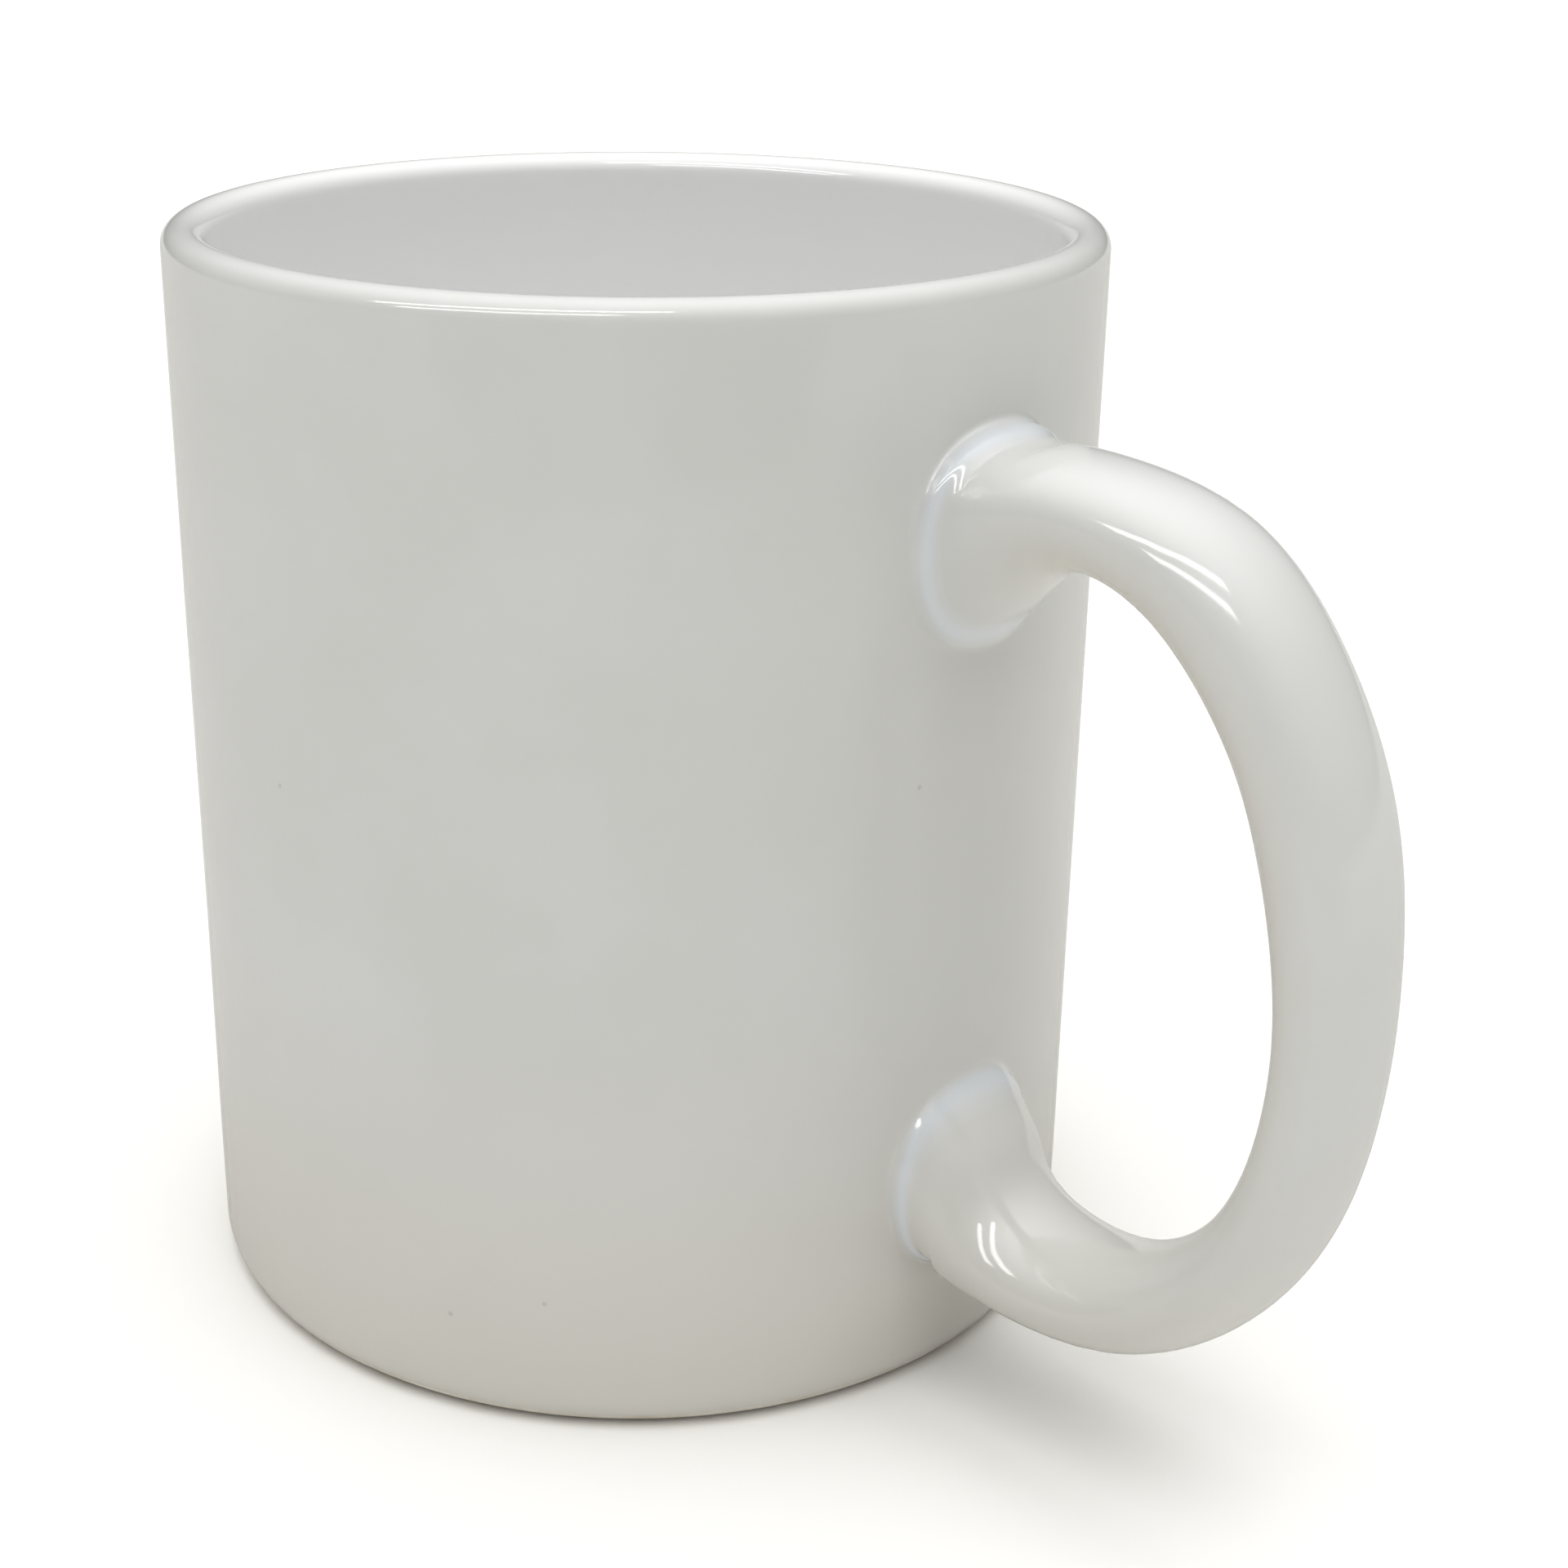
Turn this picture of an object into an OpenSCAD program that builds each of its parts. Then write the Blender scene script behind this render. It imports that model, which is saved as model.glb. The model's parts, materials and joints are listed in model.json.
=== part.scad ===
// Straight-sided ceramic mug with a loop handle, as it is made: a cast cup, a
// separately cast handle, the two slip joints that lute them together, and the glaze.
// +Z is up, the origin is the centre of the foot, and the handle points along +X.

/* [Cup] */
// Outside diameter of the cup, over the glaze
cup_d = 80; // [76:1:86]
// Height of the lip above the table
cup_h = 95; // [90:1:105]
// Thickness of the wall, with its glaze on both sides
wall_t = 3.6; // [3:0.1:4.4]
// Height of the drinking side of the floor above the table
floor_z = 6.5; // [5.5:0.5:8]
// Radius where the inside wall turns into the floor
inside_r = 8; // [5:0.5:12]
// Radius of the outside corner at the base
base_r = 2.5; // [1.5:0.5:4]

/* [Foot] */
// Width of the bare ring that the mug stands on
foot_w = 3; // [2:0.5:5]
// Depth of the hollow inside that ring
foot_recess = 1.8; // [1:0.1:3]
// Height at which the glaze stops above the table
glaze_line = 0.9; // [0.6:0.1:1.5]

/* [Glaze] */
// Thickness of the glaze coat
glaze_t = 0.4; // [0.4:0.05:0.5]

/* [Handle] */
// Height of the handle's outer side where it leaves the wall
handle_top_z = 83; // [80:0.5:86]
// Height of the lowest control point of its outer side
handle_drop_z = 8; // [7.5:0.1:9.5]
// Distance from the wall to the outermost control point
handle_reach = 38; // [34:0.5:40]
// Breadth of the strap across the handle, over the glaze
handle_w = 12; // [10.6:0.2:13.4]
// Thickness of the strap at its thinnest, over the glaze
handle_t = 7.2; // [6.6:0.2:8.4]

/* [Slip joints] */
// How far the slip stands out beside the handle's upper root
bead_side = 2.2; // [1.4:0.1:2.6]
// How far the slip runs out along the handle
bead_run = 3; // [2.5:0.5:4]

/* [Hidden] */

cup_r = cup_d / 2;
bore_r = cup_r - wall_t;
lip_r = wall_t / 2;
biscuit_r = cup_r - glaze_t;
foot_out_r = cup_r - base_r;
foot_in_r = foot_out_r - foot_w;
// The foot's inner flank leans outwards towards the table by this much
foot_lean = 0.8;
// Facets round each circle
round_fn = 96;

// Control rings of the handle over its glaze, from the upper root to the lower root:
// radius and height of the outer side, lean of the section, thickness, half breadth
control_rings = [
    [cup_r - 2, handle_top_z, 90, handle_t + 1.4, handle_w / 2],
    [cup_r + 0.12 * handle_reach, handle_top_z + 1.2, 115, handle_t + 1, handle_w / 2 + 0.2],
    [cup_r + 0.58 * handle_reach, handle_top_z, 61, handle_t + 3.1, handle_w / 2 + 0.2],
    [cup_r + 0.82 * handle_reach, 73, 49.5, handle_t + 2, handle_w / 2],
    [cup_r + 0.96 * handle_reach, 62, 18.5, handle_t + 2.3, handle_w / 2],
    [cup_r + handle_reach, 51, 15, handle_t + 0.6, handle_w / 2],
    [cup_r + handle_reach, 37.5, -12, handle_t, handle_w / 2],
    [cup_r + 0.91 * handle_reach, 21.5, -30, handle_t + 0.8, handle_w / 2 + 0.2],
    [cup_r + 0.54 * handle_reach, handle_drop_z + 0.2, -69, handle_t + 2.2, handle_w / 2 + 0.5],
    [cup_r + 0.09 * handle_reach, handle_drop_z + 2.2, -114, handle_t + 2, handle_w / 2 + 0.7],
    [cup_r - 2, handle_drop_z + 4.4, -90, handle_t + 4.6, handle_w / 2 + 0.4]
];
// The same rings as radius and height of the outer side, then of the finger side, then
// half breadth
ring_line = [
    for (ring = control_rings) [
        ring[0],
        ring[1],
        ring[0] - ring[3] * cos(ring[2]),
        ring[1] - ring[3] * sin(ring[2]),
        ring[4]
    ]
];
// The strap's section is a superellipse with this exponent
section_power = 2.2;
// Sides of the section
sides = 24;
// Shares of its length where the slip of each root runs out on the handle
upper_root = share_at(bead_run, 0, 0.3, 40);
lower_root = share_at(bead_run, 1, 0.85, 40);
root_steps = 8;
strap_steps = 48;
upper_stations = [for (i = [0 : root_steps]) upper_root * i / root_steps];
lower_stations = [for (i = [0 : root_steps]) lower_root + (1 - lower_root) * i / root_steps];
strap_stations = [
    for (i = [1 : strap_steps - 1])
        upper_root + (lower_root - upper_root) * i / strap_steps
];
all_stations = concat(upper_stations, strap_stations, lower_stations);

// How far each layer of a root stands out on the finger side, the outer side and the flanks
upper_core_flare = [4, 0, 0];
lower_core_flare = [0.8, 0, 0];
upper_bead = [3, 1.2, bead_side];
lower_bead = [2, 0.4, bead_side - 0.8];
// The thickened core of a root runs out along the handle by this much
core_run = 7;

// ---- Curves ----

// Knot number i of a clamped cubic spline over n control values
function knot(i, n) = max(0, min(1, (i - 3) / (n - 3)));

function ratio(a, b) = b == 0 ? 0 : a / b;

// Weight of control value i of n at s, for a spline of degree k
function weight(i, k, n, s) =
    k == 0
        ? ((knot(i, n) <= s && s < knot(i + 1, n)) ? 1 : 0)
        : ratio(s - knot(i, n), knot(i + k, n) - knot(i, n)) * weight(i, k - 1, n, s)
            + ratio(knot(i + k + 1, n) - s, knot(i + k + 1, n) - knot(i + 1, n))
                * weight(i + 1, k - 1, n, s);

function total(list, i = 0) =
    i == len(list) - 1 ? list[i] : list[i] + total(list, i + 1);

// Value at s, from 0 to 1, of the spline with these control values
function spline(values, s) =
    s >= 1
        ? values[len(values) - 1]
        : total([for (i = [0 : len(values) - 1]) weight(i, 3, len(values), s) * values[i]]);

// Radius of the middle of the section at s
function middle_r(s) = (spline(ring_line, s)[0] + spline(ring_line, s)[2]) / 2;

// Share of the handle's length, between near and far, where its middle is this far from the wall
function share_at(gap, near, far, tries) =
    let (middle = (near + far) / 2)
    tries == 0
        ? middle
        : middle_r(middle) - cup_r > gap
            ? share_at(gap, near, middle, tries - 1)
            : share_at(gap, middle, far, tries - 1);

function signed_power(value, power) = sign(value) * pow(abs(value), power);

// 1 at the wall, falling in a hollow curve to 0 where a flare runs out along the handle
function flare(s, run) =
    let (left = 1 - max(middle_r(s) - cup_r, 0) / run)
    left <= 0 ? 0 : left * (0.35 + 0.65 * left);

// Extra on [finger side, outer side, flanks] at s. level 0 is the handle alone, 1 adds the
// slip, and film is the thickness of glaze on top
function extra(s, level, film) =
    (s < 0.5 ? upper_core_flare : lower_core_flare) * flare(s, core_run)
        + level * (s < 0.5 ? upper_bead : lower_bead) * flare(s, bead_run)
        + (film - glaze_t) * [1, 1, 1];

// Points round the section at s
function section(s, level, film) =
    let (
        ring = spline(ring_line, s),
        centre = [ring[0] + ring[2], ring[1] + ring[3]] / 2,
        reach = [ring[0] - ring[2], ring[1] - ring[3]] / 2,
        up = reach / norm(reach),
        more = extra(s, level, film)
    )
    [
        for (i = [0 : sides - 1])
            let (
                turn = 360 * (i + 0.5) / sides,
                across = signed_power(cos(turn), 2 / section_power) * (ring[4] + more[2]),
                lift = signed_power(sin(turn), 2 / section_power)
                    * (norm(reach) + (sin(turn) > 0 ? more[1] : more[0]))
            )
            [centre[0] + up[0] * lift, across, centre[1] + up[1] * lift]
    ];

function all_points(stations, level, film) =
    [for (s = stations) each section(s, level, film)];

// Side faces between rings of one skin, whose points start at index first. At the ring
// called shared, the skin uses the points of the skin that starts at 0
function skin(rings, first, inward, shared = -1) =
    [
        for (r = [0 : rings - 2], i = [0 : sides - 1])
            let (
                j = (i + 1) % sides,
                near = (r == shared ? 0 : first) + r * sides,
                far = (r + 1 == shared ? 0 : first) + (r + 1) * sides,
                a = near + i,
                b = near + j,
                c = far + j,
                d = far + i
            )
            each inward ? [[a, b, c], [a, c, d]] : [[a, c, b], [a, d, c]]
    ];

// Ring of faces that closes the end between an inner and an outer skin
function end_ring(outer, inner, far) =
    [
        for (i = [0 : sides - 1])
            let (j = (i + 1) % sides)
            each far
                ? [[outer + i, inner + j, outer + j], [outer + i, inner + i, inner + j]]
                : [[outer + i, outer + j, inner + j], [outer + i, inner + j, inner + i]]
    ];

// ---- Building blocks ----

// Solid strap over some stations
module strap(stations, level, film) {
    rings = len(stations);
    polyhedron(
        points = all_points(stations, level, film),
        faces = concat(
            skin(rings, 0, false),
            [[for (i = [0 : sides - 1]) i]],
            [[for (i = [sides - 1 : -1 : 0]) (rings - 1) * sides + i]]
        )
    );
}

// Collar of slip over the stations of a root, which thins to nothing at the ring called edge
module collar(stations, edge) {
    rings = len(stations);
    inner = rings * sides;
    last = (rings - 1) * sides;
    polyhedron(
        points = concat(all_points(stations, 1, 0), all_points(stations, 0, 0)),
        faces = concat(
            skin(rings, 0, false),
            skin(rings, inner, true, edge),
            edge == 0 ? end_ring(last, inner + last, true) : end_ring(0, inner, false)
        )
    );
}

// What the biscuit-fired cup fills, up to its outer wall
module biscuit_cylinder() {
    rotate([0, 0, 180])
        cylinder(h = cup_h, r = biscuit_r, $fn = round_fn);
}

// Half section of everything inside the cup's outer surface, set in by a depth
module outer_half(depth) {
    square([foot_out_r, cup_h - lip_r]);
    translate([0, base_r])
        square([cup_r - depth, cup_h - lip_r - base_r]);
    translate([foot_out_r, base_r])
        circle(r = base_r - depth, $fn = round_fn);
}

// Half section of the drinking space, set out by a depth
module inner_half(depth) {
    translate([0, floor_z + inside_r])
        square([bore_r + depth, cup_h]);
    translate([0, floor_z - depth])
        square([bore_r - inside_r, inside_r + depth]);
    intersection() {
        translate([bore_r - inside_r, floor_z + inside_r])
            circle(r = inside_r + depth, $fn = round_fn);
        square([cup_r, cup_h]);
    }
}

// Half section of the cup wall, floor and lip, set in by a depth
module wall_half(depth) {
    difference() {
        outer_half(depth);
        inner_half(depth);
    }
    translate([cup_r - lip_r, cup_h - lip_r])
        circle(r = lip_r - depth, $fn = round_fn);
}

// ---- Sub-parts ----

// Biscuit-fired cup: wall, rounded lip, floor and the bare foot ring
module cup_body() {
    color("antiquewhite")
    difference() {
        rotate_extrude($fn = round_fn) {
            difference() {
                wall_half(glaze_t);
                square([cup_r, glaze_line]);
            }
            intersection() {
                outer_half(0);
                square([cup_r, glaze_line]);
            }
        }
        cylinder(h = foot_recess + glaze_t, r = foot_in_r, $fn = round_fn);
        translate([0, 0, -0.001])
            cylinder(h = foot_recess, r1 = foot_in_r + foot_lean, r2 = foot_in_r, $fn = round_fn);
    }
}

// Solid cast handle, trimmed to the curve of the wall at both roots
module handle() {
    color("ivory")
    difference() {
        strap(all_stations, 0, 0);
        biscuit_cylinder();
    }
}

// Slip that lutes the upper root to the wall
module upper_slip_joint() {
    color("lightsteelblue")
    difference() {
        collar(upper_stations, root_steps);
        biscuit_cylinder();
    }
}

// Slip that lutes the lower root to the wall
module lower_slip_joint() {
    color("lightsteelblue")
    difference() {
        collar(lower_stations, 0);
        biscuit_cylinder();
    }
}

// One fused coat of glaze: outside, lip, inside and over the handle
module glaze_coat() {
    color("whitesmoke")
    difference() {
        union() {
            // The seam of the turned coat lies away from the handle
            rotate([0, 0, 180])
                rotate_extrude($fn = round_fn)
                    difference() {
                        wall_half(0);
                        wall_half(glaze_t);
                        square([cup_r, glaze_line]);
                    }
            difference() {
                strap(all_stations, 1, glaze_t);
                biscuit_cylinder();
            }
        }
        strap(all_stations, 1, 0);
    }
}

// Island of glaze inside the foot ring
module base_glaze() {
    color("whitesmoke")
    translate([0, 0, foot_recess])
        cylinder(h = glaze_t, r = foot_in_r, $fn = round_fn);
}

cup_body();
handle();
upper_slip_joint();
lower_slip_joint();
glaze_coat();
base_glaze();
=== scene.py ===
"""A white glazed mug on a pale studio floor, seen from a little above.

All shapes are worked out in millimetres in the frame of the mug: +Z up, the origin at
the centre of the foot and the handle along +X.
"""

import json
import math

import bpy
import numpy as np
from mathutils import Matrix, Vector, noise


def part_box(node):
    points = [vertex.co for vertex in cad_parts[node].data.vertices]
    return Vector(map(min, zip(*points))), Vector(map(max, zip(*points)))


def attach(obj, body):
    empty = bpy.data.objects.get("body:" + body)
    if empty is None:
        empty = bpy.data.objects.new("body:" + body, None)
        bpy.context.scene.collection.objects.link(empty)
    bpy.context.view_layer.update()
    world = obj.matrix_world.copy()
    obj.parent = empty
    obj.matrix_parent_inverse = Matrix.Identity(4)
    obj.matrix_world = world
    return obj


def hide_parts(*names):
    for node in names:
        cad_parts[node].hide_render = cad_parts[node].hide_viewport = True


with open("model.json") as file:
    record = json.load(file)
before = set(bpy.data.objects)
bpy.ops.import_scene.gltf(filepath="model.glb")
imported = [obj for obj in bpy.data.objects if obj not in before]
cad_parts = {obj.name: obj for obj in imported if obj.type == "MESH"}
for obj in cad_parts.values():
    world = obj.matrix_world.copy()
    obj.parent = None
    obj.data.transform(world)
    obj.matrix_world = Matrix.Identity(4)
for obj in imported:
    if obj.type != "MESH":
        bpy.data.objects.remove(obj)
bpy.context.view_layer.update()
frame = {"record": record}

MM = 0.001

# ---- Measurements, from the design ----

mounts = {m["name"]: m for m in frame["record"]["mounts"]}
glaze_low, glaze_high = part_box("glaze_coat")
base_low, base_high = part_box("base_glaze")
CUP_R = glaze_high.y / MM
CUP_H = glaze_high.z / MM
BORE_R = mounts["mouth"]["dims"]["r_mm"]
GLAZE_LINE = glaze_low.z / MM
FOOT_IN_R = base_high.y / MM
FOOT_RECESS = base_low.z / MM

LIP_R = (CUP_R - BORE_R) / 2
GLAZE_T = 0.4
# Rounding between wall and foot, and how far the inner side of the foot ring leans
BASE_R = 2.5
FOOT_OUT_R = CUP_R - BASE_R
FOOT_LEAN = 0.8
# Top of the floor inside, and the rounding between floor and wall
FLOOR_Z = 6.5
INSIDE_R = 8

# ---- Mesh layout of the glaze ----

COLUMNS = 256
# Rows from the glaze line up to the wall, then rows of the outer wall
EDGE_ROWS = 8
WALL_ROWS = 92
# A joint takes up a patch of this many columns each way, and twice as many rows
PATCH = 14
# Points round the handle, the same number as round the edge of a patch
AROUND = 8 * PATCH
UPPER_ROW = 60
LOWER_ROW = 3
# Rings of faces between the edge of a patch and the toe of the joint
BLEND_ROWS = 7


def spread(value, power):
    """value to a power, with its sign kept."""
    return np.sign(value) * np.abs(value) ** power


# ---- Handle: a surface through rings of points ----

# Each ring is a superellipse. Its exponent is 2 for an ellipse, and more for a squarer ring

# Rings on and near the wall, from the toe of the joint to the handle: half width, top,
# bottom, then the rise off the wall at the flanks, top and bottom, and the exponent
UPPER_RINGS = [
    (9.4, 84.9, 65, 0, 0, 0, 2.2),
    (8.8, 84.2, 65.7, 0, 0, 0, 2.2),
    (8.6, 83.9, 66.2, 0.4, 0.5, 0.3, 2.3),
    (8.2, 83.6, 66.8, 1, 1.4, 0.7, 2.5),
    (7.8, 83.3, 67.5, 1.2, 2, 1.2, 2.7),
    (7.5, 82.9, 68.3, 1.3, 2.6, 1.9, 2.8),
    (7.2, 82.6, 69.3, 2.1, 3.4, 3, 2.6),
    (6.7, 82.7, 71.7, 4.2, 5.2, 5.2, 2.4),
]
LOWER_RINGS = [
    (9, 28.8, 9.7, 0, 0, 0, 2.2),
    (8.6, 28.3, 10.1, 0, 0, 0, 2.2),
    (8.5, 27.9, 10.4, 0.4, 0.25, 0.4, 2.2),
    (8.2, 27.4, 10.7, 1.1, 0.6, 1, 2.3),
    (7.9, 26.8, 11, 1.3, 1.1, 1.2, 2.4),
    (7.7, 26, 11.2, 1.4, 2, 1.3, 2.4),
    (7.4, 24.6, 10.9, 2.2, 3.3, 2, 2.4),
    (6.9, 22.5, 10.4, 3.8, 5.1, 3.6, 2.3),
]
# Rings of the strap: radius and height of its outer side and of its finger side, half
# width, and the exponent
STRAP_RINGS = [
    (45.5, 83.2, 49.9, 75.3, 6.4, 2.2),
    (61.8, 82.2, 57.4, 73.1, 6.2, 2.2),
    (70.8, 72.3, 64.6, 64.8, 6, 2.2),
    (76.3, 61.4, 67.3, 58.4, 6, 2.2),
    (77.7, 50.4, 70.3, 48.4, 6, 2.2),
    (77.7, 37, 70.8, 38.5, 6.1, 2.1),
    (74.3, 21.1, 67.3, 25.1, 6.3, 2),
    (60.4, 7.7, 56.9, 16.7, 6.6, 2),
    (39.5, 9.7, 47, 18.1, 7, 2),
]

turn = 2 * math.pi * np.arange(AROUND) / AROUND


def strap_ring(outer_r, outer_z, finger_r, finger_z, half, power):
    across = spread(np.cos(turn), 2 / power)
    lift = spread(np.sin(turn), 2 / power)
    middle = ((outer_r + finger_r) / 2, (outer_z + finger_z) / 2)
    reach = ((outer_r - finger_r) / 2, (outer_z - finger_z) / 2)
    return np.c_[middle[0] + reach[0] * lift, half * across, middle[1] + reach[1] * lift]


def wall_ring(width, top, bottom, rise_side, rise_top, rise_bottom, power, way):
    across = spread(np.cos(turn), 2 / power)
    lift = way * spread(np.sin(turn), 2 / power)
    middle = (top + bottom) / 2
    z = middle + np.where(lift > 0, top - middle, middle - bottom) * lift
    upright = lift**2 / (lift**2 + across**2)
    rise = rise_side * (1 - upright) + np.where(lift > 0, rise_top, rise_bottom) * upright
    r = CUP_R + rise
    return np.c_[r * np.cos(width * across / CUP_R), r * np.sin(width * across / CUP_R), z]


RINGS = np.array(
    [wall_ring(*ring, 1) for ring in UPPER_RINGS]
    + [strap_ring(*ring) for ring in STRAP_RINGS]
    + [wall_ring(*ring, -1) for ring in reversed(LOWER_RINGS)]
)
SPANS = len(RINGS) - 3


def spline_weights(s):
    """Weights of the rings at s, which counts spans from the upper toe to the lower toe."""
    knots = np.clip(np.arange(len(RINGS) + 4) - 3, 0, SPANS).astype(float)
    w = np.zeros(len(knots) - 1)
    span = min(int(s), SPANS - 1)
    w[span + 3] = 1
    for k in (1, 2, 3):
        for i in range(len(w) - k):
            left = knots[i + k] - knots[i]
            right = knots[i + k + 1] - knots[i + 1]
            w[i] = (w[i] * (s - knots[i]) / left if left else 0) + (
                w[i + 1] * (knots[i + k + 1] - s) / right if right else 0
            )
    return w[: len(RINGS)]


def station_list():
    """Stations along the handle. The spans at the two joints are short, so they need fewer."""
    joint = [4] * 7 + [7]
    steps = joint + [14] * (SPANS - 2 * len(joint)) + joint[::-1]
    stations = []
    for span, n in enumerate(steps):
        stations += [span + i / n for i in range(n)]
    return stations + [float(SPANS)]


STATIONS = station_list()
HANDLE = np.array([np.tensordot(spline_weights(s), RINGS, 1) for s in STATIONS])


def pooled(s):
    """Share of pooled glaze at s: 1 on a bead, and 0 at its toe and up the handle."""
    near = min(s, SPANS - s)
    return float(np.clip((4.6 - near) / 1.6, 0, 1) * np.clip((near - 0.5) / 1.5, 0, 1))


# ---- Cup: a profile turned round the axis ----


def arc(centre_r, centre_z, radius, start, end, n):
    """n + 1 points of an arc, with angles in degrees from +R towards +Z."""
    angles = np.radians(np.linspace(start, end, n + 1))
    return np.c_[centre_r + radius * np.cos(angles), centre_z + radius * np.sin(angles)]


def straight(start, end, n):
    t = np.linspace(0, 1, n + 1)[:, None]
    return np.array(start) * (1 - t) + np.array(end) * t


def joined(*runs):
    """Runs of points end to end, with the shared points kept once."""
    out = [runs[0]]
    for run in runs[1:]:
        out.append(run[1:])
    return np.concatenate(out)


WALL_LOW = BASE_R
WALL_HIGH = CUP_H - LIP_R
line_angle = math.degrees(math.asin((GLAZE_LINE + 0.15 - BASE_R) / BASE_R))
glaze_profile = joined(
    arc(FOOT_OUT_R, BASE_R, BASE_R, line_angle, 0, EDGE_ROWS),
    straight((CUP_R, WALL_LOW), (CUP_R, WALL_HIGH), WALL_ROWS),
    arc(CUP_R - LIP_R, WALL_HIGH, LIP_R, 0, 180, 24),
    straight((BORE_R, WALL_HIGH), (BORE_R, FLOOR_Z + INSIDE_R), 80),
    arc(BORE_R - INSIDE_R, FLOOR_Z + INSIDE_R, INSIDE_R, 0, -90, 24),
    straight((BORE_R - INSIDE_R, FLOOR_Z), (2, FLOOR_Z), 27),
)


def turned(profile):
    """Points of a profile at every column, as rows x columns x 3."""
    angle = 2 * math.pi * np.arange(COLUMNS) / COLUMNS
    r = profile[:, 0][:, None]
    z = np.repeat(profile[:, 1][:, None], COLUMNS, 1)
    return np.stack([r * np.cos(angle), r * np.sin(angle), z], 2)


class Mesh:
    """Points and faces as they are put together."""

    def __init__(self):
        self.points = []
        self.faces = []

    def add(self, points):
        first = len(self.points)
        self.points += [tuple(p) for p in np.reshape(points, (-1, 3))]
        return first + np.arange(len(self.points) - first).reshape(np.shape(points)[:-1])

    def band(self, near, far):
        """Closed band of faces between two rings with the same number of points."""
        n = len(near)
        for i in range(n):
            j = (i + 1) % n
            self.faces.append((near[i], near[j], far[j], far[i]))

    def cap(self, ring, centre):
        middle = int(self.add(np.array(centre)[None])[0])
        n = len(ring)
        for i in range(n):
            self.faces.append((ring[i], ring[(i + 1) % n], middle))


def patch_edge(row):
    """(row, column) round the edge of a patch, from the middle of its +Y side, upwards."""
    up = [(PATCH + i, PATCH) for i in range(PATCH)]
    top = [(2 * PATCH, PATCH - i) for i in range(2 * PATCH)]
    down = [(2 * PATCH - i, -PATCH) for i in range(2 * PATCH)]
    bottom = [(0, -PATCH + i) for i in range(2 * PATCH)]
    rest = [(i, PATCH) for i in range(PATCH)]
    return [(row + r, c) for r, c in up + top + down + bottom + rest]


# Soft unevenness of the glaze: the size and the depth of its wide and its fine waves
WIDE_WAVE, WIDE_DEPTH = 26, 0.035
FINE_WAVE, FINE_DEPTH = 9, 0.012


def uneven(p):
    """How far the soft unevenness of the glaze moves a point outwards."""
    wide = noise.noise(Vector(p) / WIDE_WAVE)
    fine = noise.noise(Vector(p) / FINE_WAVE + Vector((40, 0, 0)))
    return WIDE_DEPTH * wide + FINE_DEPTH * fine


def outer_skin():
    """The outer surface of the whole glaze, as a Mesh, its first ring, and the share of
    pooled glaze at each point of the handle."""
    m = Mesh()
    grid = m.add(turned(glaze_profile))
    pool = {}
    holes = set()
    for row in (UPPER_ROW, LOWER_ROW):
        for r in range(2 * PATCH):
            for c in range(-PATCH, PATCH):
                holes.add((EDGE_ROWS + row + r, c % COLUMNS))
    for r in range(len(grid) - 1):
        for c in range(COLUMNS):
            if (r, c) not in holes:
                d = (c + 1) % COLUMNS
                m.faces.append((grid[r, c], grid[r, d], grid[r + 1, d], grid[r + 1, c]))
    m.cap(grid[-1], (0, 0, FLOOR_Z))
    rings = m.add(HANDLE)
    for near, far in zip(rings[:-1], rings[1:]):
        m.band(near, far)
    for s, ring in zip(STATIONS, rings):
        for i in ring:
            pool[int(i)] = pooled(s)
    for row, toe, way in ((UPPER_ROW, HANDLE[0], 1), (LOWER_ROW, HANDLE[-1], -1)):
        edge = [grid[EDGE_ROWS + r, c % COLUMNS] for r, c in patch_edge(row)]
        edge = [edge[(way * i) % AROUND] for i in range(AROUND)]
        edge_points = np.array([m.points[i] for i in edge])
        u_edge = CUP_R * np.arctan2(edge_points[:, 1], edge_points[:, 0])
        u_toe = CUP_R * np.arctan2(toe[:, 1], toe[:, 0])
        between = []
        for k in range(1, BLEND_ROWS):
            t = k / BLEND_ROWS
            u = u_edge * (1 - t) + u_toe * t
            z = edge_points[:, 2] * (1 - t) + toe[:, 2] * t
            between.append(np.c_[CUP_R * np.cos(u / CUP_R), CUP_R * np.sin(u / CUP_R), z])
        rows = [edge] + list(m.add(np.array(between)))
        rows.append(rings[0] if way > 0 else rings[-1])
        for near, far in zip(rows[:-1], rows[1:]):
            if way > 0:
                m.band(near, far)
            else:
                m.band(far, near)
    return m, grid[0], pool


def tidy_points(points, faces, extra):
    """The points that faces use, the faces and the extra indices renumbered to match, and
    which points those are."""
    used = np.zeros(len(points), bool)
    used[np.concatenate([np.array(f) for f in faces])] = True
    new = np.cumsum(used) - 1
    return points[used], [tuple(new[list(f)]) for f in faces], new[extra], used


def normals_of(points, faces):
    """Normal at every point, as the mean of its faces by area."""
    out = np.zeros_like(points)
    tri = [(f[0], f[1], f[2]) for f in faces] + [(f[0], f[2], f[3]) for f in faces if len(f) == 4]
    tri = np.array(tri)
    a, b, c = points[tri[:, 0]], points[tri[:, 1]], points[tri[:, 2]]
    n = np.cross(b - a, c - a)
    for k in range(3):
        np.add.at(out, tri[:, k], n)
    return out / np.linalg.norm(out, axis=1)[:, None]


def build(name, points, faces, material, node):
    """A piece from points in millimetres, which stands for a node of the design."""
    mesh = bpy.data.meshes.new(name)
    whole = [[int(i) for i in f] for f in faces]
    mesh.from_pydata((np.asarray(points) * MM).tolist(), [], whole)
    mesh.validate()
    mesh.update()
    mesh.shade_smooth()
    obj = bpy.data.objects.new(name, mesh)
    bpy.context.scene.collection.objects.link(obj)
    obj.data.materials.append(material)
    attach(obj, "root")
    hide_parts(node)
    return obj


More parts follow.
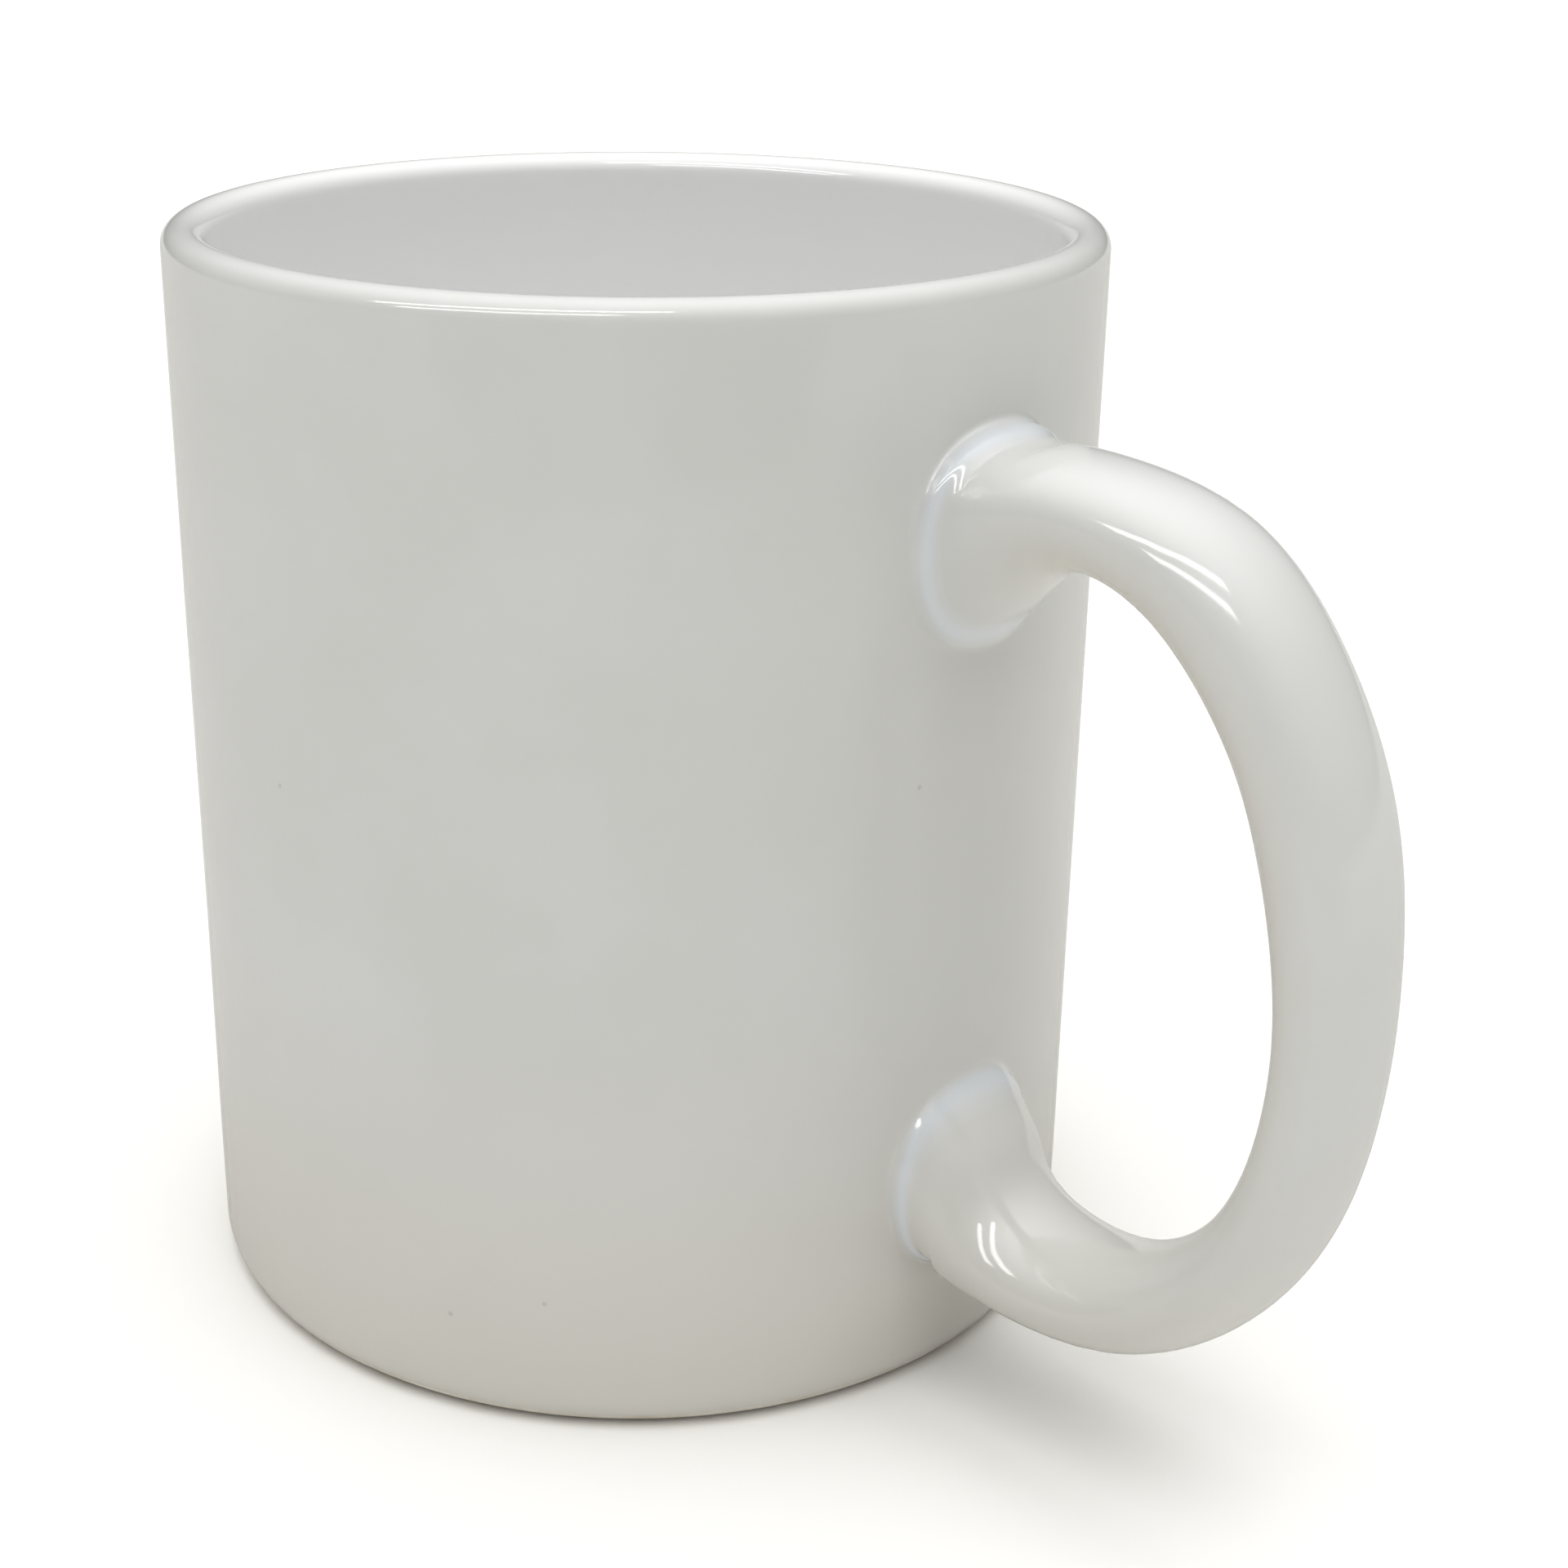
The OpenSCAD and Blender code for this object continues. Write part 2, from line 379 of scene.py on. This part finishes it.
# ---- Materials ----


class Nodes:
    """A material's nodes, added by short calls."""

    def __init__(self, name):
        self.material = bpy.data.materials.new(name)
        self.material.use_nodes = True
        self.tree = self.material.node_tree
        self.tree.nodes.clear()
        self.out = self.tree.nodes.new("ShaderNodeOutputMaterial")
        self.shader = self.tree.nodes.new("ShaderNodeBsdfPrincipled")
        self.tree.links.new(self.shader.outputs["BSDF"], self.out.inputs["Surface"])
        coords = self.tree.nodes.new("ShaderNodeTexCoord")
        self.place = coords.outputs["Object"]

    def link(self, source, target):
        self.tree.links.new(source, target)

    def noise(self, scale, detail=2.0, rough=0.5):
        n = self.tree.nodes.new("ShaderNodeTexNoise")
        n.inputs["Scale"].default_value = scale
        n.inputs["Detail"].default_value = detail
        n.inputs["Roughness"].default_value = rough
        self.link(self.place, n.inputs["Vector"])
        return n.outputs["Fac"]

    def ranged(self, value, low, high, to_low=0.0, to_high=1.0):
        n = self.tree.nodes.new("ShaderNodeMapRange")
        n.interpolation_type = "SMOOTHSTEP"
        n.inputs["From Min"].default_value = low
        n.inputs["From Max"].default_value = high
        n.inputs["To Min"].default_value = to_low
        n.inputs["To Max"].default_value = to_high
        self.link(value, n.inputs["Value"])
        return n.outputs["Result"]

    def mix(self, share, first, second):
        n = self.tree.nodes.new("ShaderNodeMix")
        n.data_type = "RGBA"
        for value, socket in ((share, n.inputs[0]), (first, n.inputs[6]), (second, n.inputs[7])):
            if isinstance(value, (float, int)):
                socket.default_value = value
            elif isinstance(value, tuple):
                socket.default_value = (*value, 1)
            else:
                self.link(value, socket)
        return n.outputs[2]

    def maths(self, kind, first, second):
        n = self.tree.nodes.new("ShaderNodeMath")
        n.operation = kind
        for value, socket in ((first, n.inputs[0]), (second, n.inputs[1])):
            if isinstance(value, (float, int)):
                socket.default_value = value
            else:
                self.link(value, socket)
        return n.outputs[0]

    def attribute(self, name):
        n = self.tree.nodes.new("ShaderNodeAttribute")
        n.attribute_name = name
        return n.outputs["Fac"]

    def height(self):
        n = self.tree.nodes.new("ShaderNodeSeparateXYZ")
        self.link(self.place, n.inputs[0])
        return n.outputs["Z"]

    def bump(self, value, distance, strength, onto=None):
        n = self.tree.nodes.new("ShaderNodeBump")
        n.inputs["Distance"].default_value = distance
        n.inputs["Strength"].default_value = strength
        self.link(value, n.inputs["Height"])
        if onto is not None:
            self.link(onto, n.inputs["Normal"])
        return n.outputs["Normal"]

    def distance(self, point):
        n = self.tree.nodes.new("ShaderNodeVectorMath")
        n.operation = "DISTANCE"
        self.link(self.place, n.inputs[0])
        n.inputs[1].default_value = point
        return n.outputs["Value"]


# Small iron specks in the glaze: azimuth from the handle, height and size in millimetres
SPECKS = [(-67, 9.5, 0.35), (-55, 12, 0.3), (-90, 53.5, 0.3), (-10, 55.5, 0.3)]


def glaze_material():
    m = Nodes("white_glaze")
    cloud = m.ranged(m.noise(45, 3), 0.35, 0.65)
    colour = m.mix(cloud, (0.602, 0.606, 0.586), (0.622, 0.626, 0.609))
    # Painted warm bounce light and shade: a warmer, slightly darker tint on the lower 40 mm of
    # the mug, and on the underside and finger side of the handle
    low = m.ranged(m.height(), 0.04, 0.0)
    painted_bounce = m.maths("MAXIMUM", m.attribute("painted_bounce"), m.maths("MULTIPLY", low, 0.7))
    colour = m.mix(painted_bounce, colour, (0.625, 0.6, 0.54))
    colour = m.mix(m.attribute("pool"), colour, (0.64, 0.665, 0.685))
    # Painted light: the inside of the cup and the inner half of the lip are made much whiter than
    # the outside, to stand in for light that falls into the cup
    colour = m.mix(m.attribute("inside"), colour, (0.88, 0.88, 0.877))
    for azimuth, z, size in SPECKS:
        a = math.radians(azimuth)
        point = (CUP_R * MM * math.cos(a), CUP_R * MM * math.sin(a), z * MM)
        dark = m.ranged(m.distance(point), size * MM, size * 0.3 * MM)
        colour = m.mix(m.maths("MULTIPLY", dark, 0.35), colour, (0.30, 0.29, 0.27))
    m.link(colour, m.shader.inputs["Base Color"])
    m.link(m.ranged(m.noise(120, 2), 0.3, 0.7, 0.06, 0.11), m.shader.inputs["Roughness"])
    m.shader.inputs["IOR"].default_value = 1.5
    soft = m.bump(m.noise(220, 1), 0.00002, 0.5)
    m.link(m.bump(m.noise(900, 1), 0.000004, 0.5, soft), m.shader.inputs["Normal"])
    return m.material


def biscuit_material():
    m = Nodes("bare_biscuit")
    cloud = m.ranged(m.noise(160, 5, 0.6), 0.3, 0.7)
    colour = m.mix(cloud, (0.56, 0.52, 0.44), (0.68, 0.65, 0.58))
    rubbed = m.ranged(m.noise(420, 3, 0.7), 0.58, 0.72)
    colour = m.mix(m.maths("MULTIPLY", rubbed, 0.4), colour, (0.38, 0.36, 0.32))
    m.link(colour, m.shader.inputs["Base Color"])
    m.shader.inputs["Roughness"].default_value = 0.85
    m.shader.inputs["IOR"].default_value = 1.45
    m.link(m.bump(m.noise(2600, 4, 0.7), 0.00006, 0.7), m.shader.inputs["Normal"])
    return m.material


def slip_material():
    m = Nodes("casting_slip")
    cloud = m.ranged(m.noise(300, 4, 0.6), 0.3, 0.7)
    m.link(m.mix(cloud, (0.62, 0.60, 0.55), (0.72, 0.70, 0.66)), m.shader.inputs["Base Color"])
    m.shader.inputs["Roughness"].default_value = 0.8
    m.link(m.bump(m.noise(1800, 3, 0.6), 0.00004, 0.6), m.shader.inputs["Normal"])
    return m.material


white_glaze = glaze_material()
bare_biscuit = biscuit_material()
casting_slip = slip_material()


# ---- Glaze coat ----


# The glaze lies this much under its plain shape, so that its waves stay within the design
SINK = 0.02
# The waves fade out over this height above the foot and below the lip
WAVE_FADE = 6


def rolled_edge(outer, inner, down):
    """Rows of points round the edge between two rings, which bulges the way of down."""
    middle, across = (outer + inner) / 2, (outer - inner) / 2
    radius = np.linalg.norm(across, axis=1)[:, None]
    rows = []
    for degrees in (30, 60, 90, 120, 150):
        t = math.radians(degrees)
        rows.append(middle + across * math.cos(t) + down * radius * math.sin(t))
    return rows


def inside_share(radius):
    """Share of painted light inside the cup, which starts on the inner half of the lip."""
    return np.clip((CUP_R - LIP_R + 0.5 - radius) / (LIP_R + 0.5), 0, 1)


def painted_bounce_share(radius, normals):
    """Share of painted warm bounce light and shade, on the underside and the finger side of the
    handle.
    """
    out = np.clip((radius - CUP_R - 3) / 6, 0, 1)
    facing = np.clip(-0.7 * normals[:, 2] - 0.5 * normals[:, 0] + 0.25, 0, 0.8)
    return out * facing


def make_glaze():
    skin, first_ring, pool = outer_skin()
    raw = np.array(skin.points, float)
    points, faces, ring, used = tidy_points(raw, skin.faces, first_ring)
    normals = normals_of(points, faces)
    share = np.zeros(len(raw))
    for i, value in pool.items():
        share[i] = value
    share = share[used]
    waves = np.array([uneven(p) for p in points])
    waves *= np.clip((points[:, 2] - 1) / WAVE_FADE, 0, 1)
    waves *= np.clip((CUP_H - points[:, 2]) / WAVE_FADE, 0, 1)
    outer = points + normals * (waves - SINK)[:, None]
    inner = outer - normals * GLAZE_T
    down = np.array([0, 0, -1.0]) - normals[ring] * (-normals[ring][:, 2])[:, None]
    down /= np.linalg.norm(down, axis=1)[:, None]
    roll = rolled_edge(outer[ring], inner[ring], down)
    n = len(outer)
    all_points = np.concatenate([outer, inner] + roll)
    all_faces = list(faces) + [tuple(n + i for i in reversed(f)) for f in faces]
    rolled = [2 * n + k * COLUMNS + np.arange(COLUMNS) for k in range(len(roll))]
    rows = [ring] + rolled + [n + ring]
    for near, far in zip(rows[:-1], rows[1:]):
        for i in range(COLUMNS):
            j = (i + 1) % COLUMNS
            all_faces.append((near[j], near[i], far[i], far[j]))
    obj = build("mug_glaze", all_points, all_faces, white_glaze, "glaze_coat")
    radius = np.hypot(outer[:, 0], outer[:, 1])
    shares = {"pool": share, "inside": inside_share(radius), "painted_bounce": painted_bounce_share(radius, normals)}
    for name, value in shares.items():
        layer = obj.data.attributes.new(name, "FLOAT", "POINT")
        values = np.concatenate([value, value, np.zeros(len(roll) * COLUMNS)])
        layer.data.foreach_set("value", values.astype(np.float32))


make_glaze()


# ---- Biscuit cup, with its bare foot ----


def turned_solid(profile):
    """Closed profile turned to a solid. Both ends of the profile lie on the axis."""
    m = Mesh()
    grid = m.add(turned(profile[1:-1]))
    for near, far in zip(grid[:-1], grid[1:]):
        m.band(near, far)
    m.cap(grid[0][::-1], (0, 0, profile[0][1]))
    m.cap(grid[-1], (0, 0, profile[-1][1]))
    return m


def make_biscuit():
    # The inner edge of the foot ring is rounded off by this much
    edge = 0.3
    recess = FOOT_RECESS + GLAZE_T
    t = GLAZE_T
    start = math.degrees(math.asin((GLAZE_LINE + 0.35 - BASE_R) / BASE_R))
    profile = joined(
        straight((0, recess), (FOOT_IN_R, recess), 24),
        straight((FOOT_IN_R, recess), (FOOT_IN_R, FOOT_RECESS), 2),
        straight((FOOT_IN_R, FOOT_RECESS), (FOOT_IN_R + FOOT_LEAN - 0.1, edge), 6),
        straight((FOOT_IN_R + FOOT_LEAN - 0.1, edge), (FOOT_IN_R + FOOT_LEAN + edge, 0), 3),
        straight((FOOT_IN_R + FOOT_LEAN + edge, 0), (FOOT_OUT_R, 0), 6),
        arc(FOOT_OUT_R, BASE_R, BASE_R, -90, start, 8),
        arc(FOOT_OUT_R, BASE_R, BASE_R - t, start + 4, 0, 6),
        straight((CUP_R - t, WALL_LOW), (CUP_R - t, WALL_HIGH), 60),
        arc(CUP_R - LIP_R, WALL_HIGH, LIP_R - t, 0, 180, 16),
        straight((BORE_R + t, WALL_HIGH), (BORE_R + t, FLOOR_Z + INSIDE_R), 60),
        arc(BORE_R - INSIDE_R, FLOOR_Z + INSIDE_R, INSIDE_R + t, 0, -90, 16),
        straight((BORE_R - INSIDE_R, FLOOR_Z - t), (0, FLOOR_Z - t), 12),
    )
    m = turned_solid(profile)
    build("mug_biscuit", m.points, m.faces, bare_biscuit, "cup_body")


def make_base_glaze():
    low, high = FOOT_RECESS, FOOT_RECESS + GLAZE_T
    edge_r = FOOT_IN_R - 0.05
    profile = joined(
        straight((0, high), (edge_r, high), 3),
        straight((edge_r, high), (edge_r, low + 0.1), 3),
        arc(edge_r - 0.1, low + 0.1, 0.1, 0, -90, 4),
        straight((edge_r - 0.1, low), (0, low), 30),
    )
    m = turned_solid(profile[::-1])
    points = np.array(m.points)
    under = points[:, 2] < low + 0.05
    for i in np.flatnonzero(under):
        p = points[i]
        points[i, 2] += 0.03 * noise.noise(Vector(p) / 11) - 0.03
    build("base_pool", points, m.faces, white_glaze, "base_glaze")


def handle_normals():
    along = np.gradient(HANDLE, axis=0)
    n = np.cross(np.roll(HANDLE, -1, 1) - np.roll(HANDLE, 1, 1), along)
    return n / np.linalg.norm(n, axis=2)[:, :, None]


# The handle and its slip lie this far under the surface of the glaze
UNDER = GLAZE_T + 0.05
BISCUIT_R = CUP_R - GLAZE_T
CORE = HANDLE - handle_normals() * UNDER
# Stations of each joint that belong to the bead, from its toe to the handle
BEAD = [k for k, s in enumerate(STATIONS) if 1 <= s <= 5]


def onto_wall(points, r=BISCUIT_R):
    """The same points moved in or out to a radius, at first that of the clay wall."""
    now = np.hypot(points[..., 0], points[..., 1])[..., None]
    flat = points * np.array([1, 1, 0]) * r / now
    return flat + points * np.array([0, 0, 1])


def make_handle():
    m = Mesh()
    first = BEAD[-1]
    rings = CORE[first : len(CORE) - first]
    rings = np.concatenate([onto_wall(rings[:1]), rings, onto_wall(rings[-1:])])
    ids = m.add(rings)
    for near, far in zip(ids[:-1], ids[1:]):
        m.band(near, far)
    for ring, points in ((ids[0][::-1], rings[0]), (ids[-1], rings[-1])):
        m.cap(ring, onto_wall(points.mean(0)))
    build("handle_biscuit", m.points, m.faces, bare_biscuit, "handle")


def make_slip(name, node, rings):
    """Collar of slip under a bead, between the wall and the glaze."""
    m = Mesh()
    r = np.maximum(np.hypot(rings[..., 0], rings[..., 1]), BISCUIT_R + 0.05)
    outer = m.add(onto_wall(rings, r[..., None]))
    inner = m.add(onto_wall(rings))
    for near, far in zip(outer[:-1], outer[1:]):
        m.band(near, far)
    for near, far in zip(inner[:-1], inner[1:]):
        m.band(far, near)
    m.band(inner[0], outer[0])
    m.band(outer[-1], inner[-1])
    build(name, m.points, m.faces, casting_slip, node)


make_biscuit()
make_base_glaze()
make_handle()
make_slip("upper_slip", "upper_slip_joint", CORE[BEAD])
make_slip("lower_slip", "lower_slip_joint", CORE[::-1][BEAD][::-1])


# ---- Floor, light and camera ----


def studio_material(name, colour):
    m = Nodes(name)
    m.shader.inputs["Base Color"].default_value = (*colour, 1)
    m.shader.inputs["Roughness"].default_value = 0.9
    m.shader.inputs["Specular IOR Level"].default_value = 0.2
    return m.material


STAGE_R = 4


def flat(name, edge, z, colour):
    """Flat piece of the studio inside an edge of (x, y) points, at height z."""
    mesh = bpy.data.meshes.new(name)
    mesh.from_pydata([(x, y, z) for x, y in edge], [], [list(range(len(edge)))])
    obj = bpy.data.objects.new(name, mesh)
    bpy.context.scene.collection.objects.link(obj)
    obj.data.materials.append(studio_material(name, colour))
    return obj


def only_reflected(obj):
    """The glaze reflects obj, and nothing else shows it."""
    obj.visible_camera = False
    obj.visible_diffuse = False
    obj.visible_shadow = False


stage_edge = [
    (STAGE_R * math.cos(a), STAGE_R * math.sin(a)) for a in np.radians(np.arange(0, 360, 3.75))
]
flat("floor", stage_edge, -0.00002, (0.88, 0.87, 0.845)).visible_glossy = False
# The glaze reflects a table that is greyer than the floor, and a dark room beyond its near edge
only_reflected(flat("table", stage_edge, 0.0003, (0.5, 0.49, 0.465)))
TABLE_EDGE = [
    (-0.06, -1.5), (-0.03, -0.8), (0, -0.44), (0.05, -0.4), (0.09, -0.33), (0.15, -0.32),
    (0.2, -0.25), (0.26, -0.24), (0.3, -0.16), (0.34, -0.12), (0.37, -0.05), (0.5, -0.02),
    (1.6, 0.1), (1.9, -1.6),
]
only_reflected(flat("dark_room", TABLE_EDGE, 0.001, (0.19, 0.19, 0.18)))


def tube(name, middle, toward, length, width, power):
    """Long thin light about middle, along toward, facing the mug. Only the glaze shows it."""
    light = bpy.data.lights.new(name, "AREA")
    light.shape = "RECTANGLE"
    light.size = length
    light.size_y = width
    light.energy = power
    obj = bpy.data.objects.new(name, light)
    z = Vector(middle).normalized()
    x = Vector(toward).normalized()
    x = (x - z * x.dot(z)).normalized()
    y = z.cross(x)
    obj.matrix_world = Matrix.Translation(middle) @ Matrix((x, y, z)).transposed().to_4x4()
    obj.visible_diffuse = False
    bpy.context.scene.collection.objects.link(obj)


# Two parallel ceiling tubes, in front of the mug and high up
tube("tube_near", (0.13, -1.08, 1.5), (1.1, 1, 0), 2.0, 0.19, 12)
tube("tube_far", (0.36, -1.83, 1.5), (1, 1, 0), 2.1, 0.22, 15)


# Strength of the sky at the horizon and overhead, and how steeply it rises with height
SKY_LOW, SKY_HIGH, SKY_POWER = 0.1, 3.4, 3


def sky():
    """Soft light from all round, brightest overhead, behind a plain white backdrop."""
    world = bpy.data.worlds.new("soft_sky")
    bpy.context.scene.world = world
    world.use_nodes = True
    tree = world.node_tree
    background = tree.nodes["Background"]
    background.inputs["Color"].default_value = (1, 1, 1, 1)
    coords = tree.nodes.new("ShaderNodeTexCoord")
    split = tree.nodes.new("ShaderNodeSeparateXYZ")
    height = tree.nodes.new("ShaderNodeMath")
    height.operation = "MAXIMUM"
    height.inputs[1].default_value = 0
    steep = tree.nodes.new("ShaderNodeMath")
    steep.operation = "POWER"
    steep.inputs[1].default_value = SKY_POWER
    ramp = tree.nodes.new("ShaderNodeMapRange")
    ramp.inputs["To Min"].default_value = SKY_LOW
    ramp.inputs["To Max"].default_value = SKY_HIGH
    tree.links.new(coords.outputs["Generated"], split.inputs[0])
    tree.links.new(split.outputs["Z"], height.inputs[0])
    tree.links.new(height.outputs[0], steep.inputs[0])
    tree.links.new(steep.outputs[0], ramp.inputs["Value"])
    tree.links.new(ramp.outputs["Result"], background.inputs["Strength"])
    backdrop = tree.nodes.new("ShaderNodeBackground")
    backdrop.inputs["Color"].default_value = (1, 1, 1, 1)
    path = tree.nodes.new("ShaderNodeLightPath")
    either = tree.nodes.new("ShaderNodeMixShader")
    tree.links.new(path.outputs["Is Camera Ray"], either.inputs[0])
    tree.links.new(background.outputs[0], either.inputs[1])
    tree.links.new(backdrop.outputs[0], either.inputs[2])
    tree.links.new(either.outputs[0], tree.nodes["World Output"].inputs["Surface"])


sky()

scene = bpy.context.scene
scene.view_settings.view_transform = "Standard"

# The camera stands 219 mm from the axis and 129 mm up, 46.5 degrees round from the
# handle's right hand side
CAMERA_AWAY = 219.1
CAMERA_UP = 129.1
CAMERA_ROUND = 46.5
CAMERA_YAW = 1.78
CAMERA_PITCH = 21.51
CAMERA_ROLL = 0.5
CAMERA_LENS = 58.36
CAMERA_SHIFT = 0.0453


def add_camera():
    round_ = math.radians(CAMERA_ROUND)
    yaw, pitch, roll = (math.radians(a) for a in (CAMERA_YAW, CAMERA_PITCH, CAMERA_ROLL))
    ahead = Vector(
        (math.sin(yaw) * math.cos(pitch), math.cos(yaw) * math.cos(pitch), -math.sin(pitch))
    )
    right = Vector((math.cos(yaw), -math.sin(yaw), 0))
    up = right.cross(ahead)
    right, up = (
        right * math.cos(roll) + up * math.sin(roll),
        up * math.cos(roll) - right * math.sin(roll),
    )
    turn_by = Matrix.Rotation(round_, 3, "Z")
    axes = Matrix((turn_by @ right, turn_by @ up, turn_by @ -ahead)).transposed()
    place = turn_by @ Vector((0, -CAMERA_AWAY * MM, CAMERA_UP * MM))
    data = bpy.data.cameras.new("camera")
    data.sensor_width = 36
    data.lens = CAMERA_LENS
    data.shift_x = CAMERA_SHIFT
    data.clip_start = 0.01
    camera = bpy.data.objects.new("camera", data)
    camera.matrix_world = Matrix.Translation(place) @ axes.to_4x4()
    scene.collection.objects.link(camera)
    scene.camera = camera


add_camera()
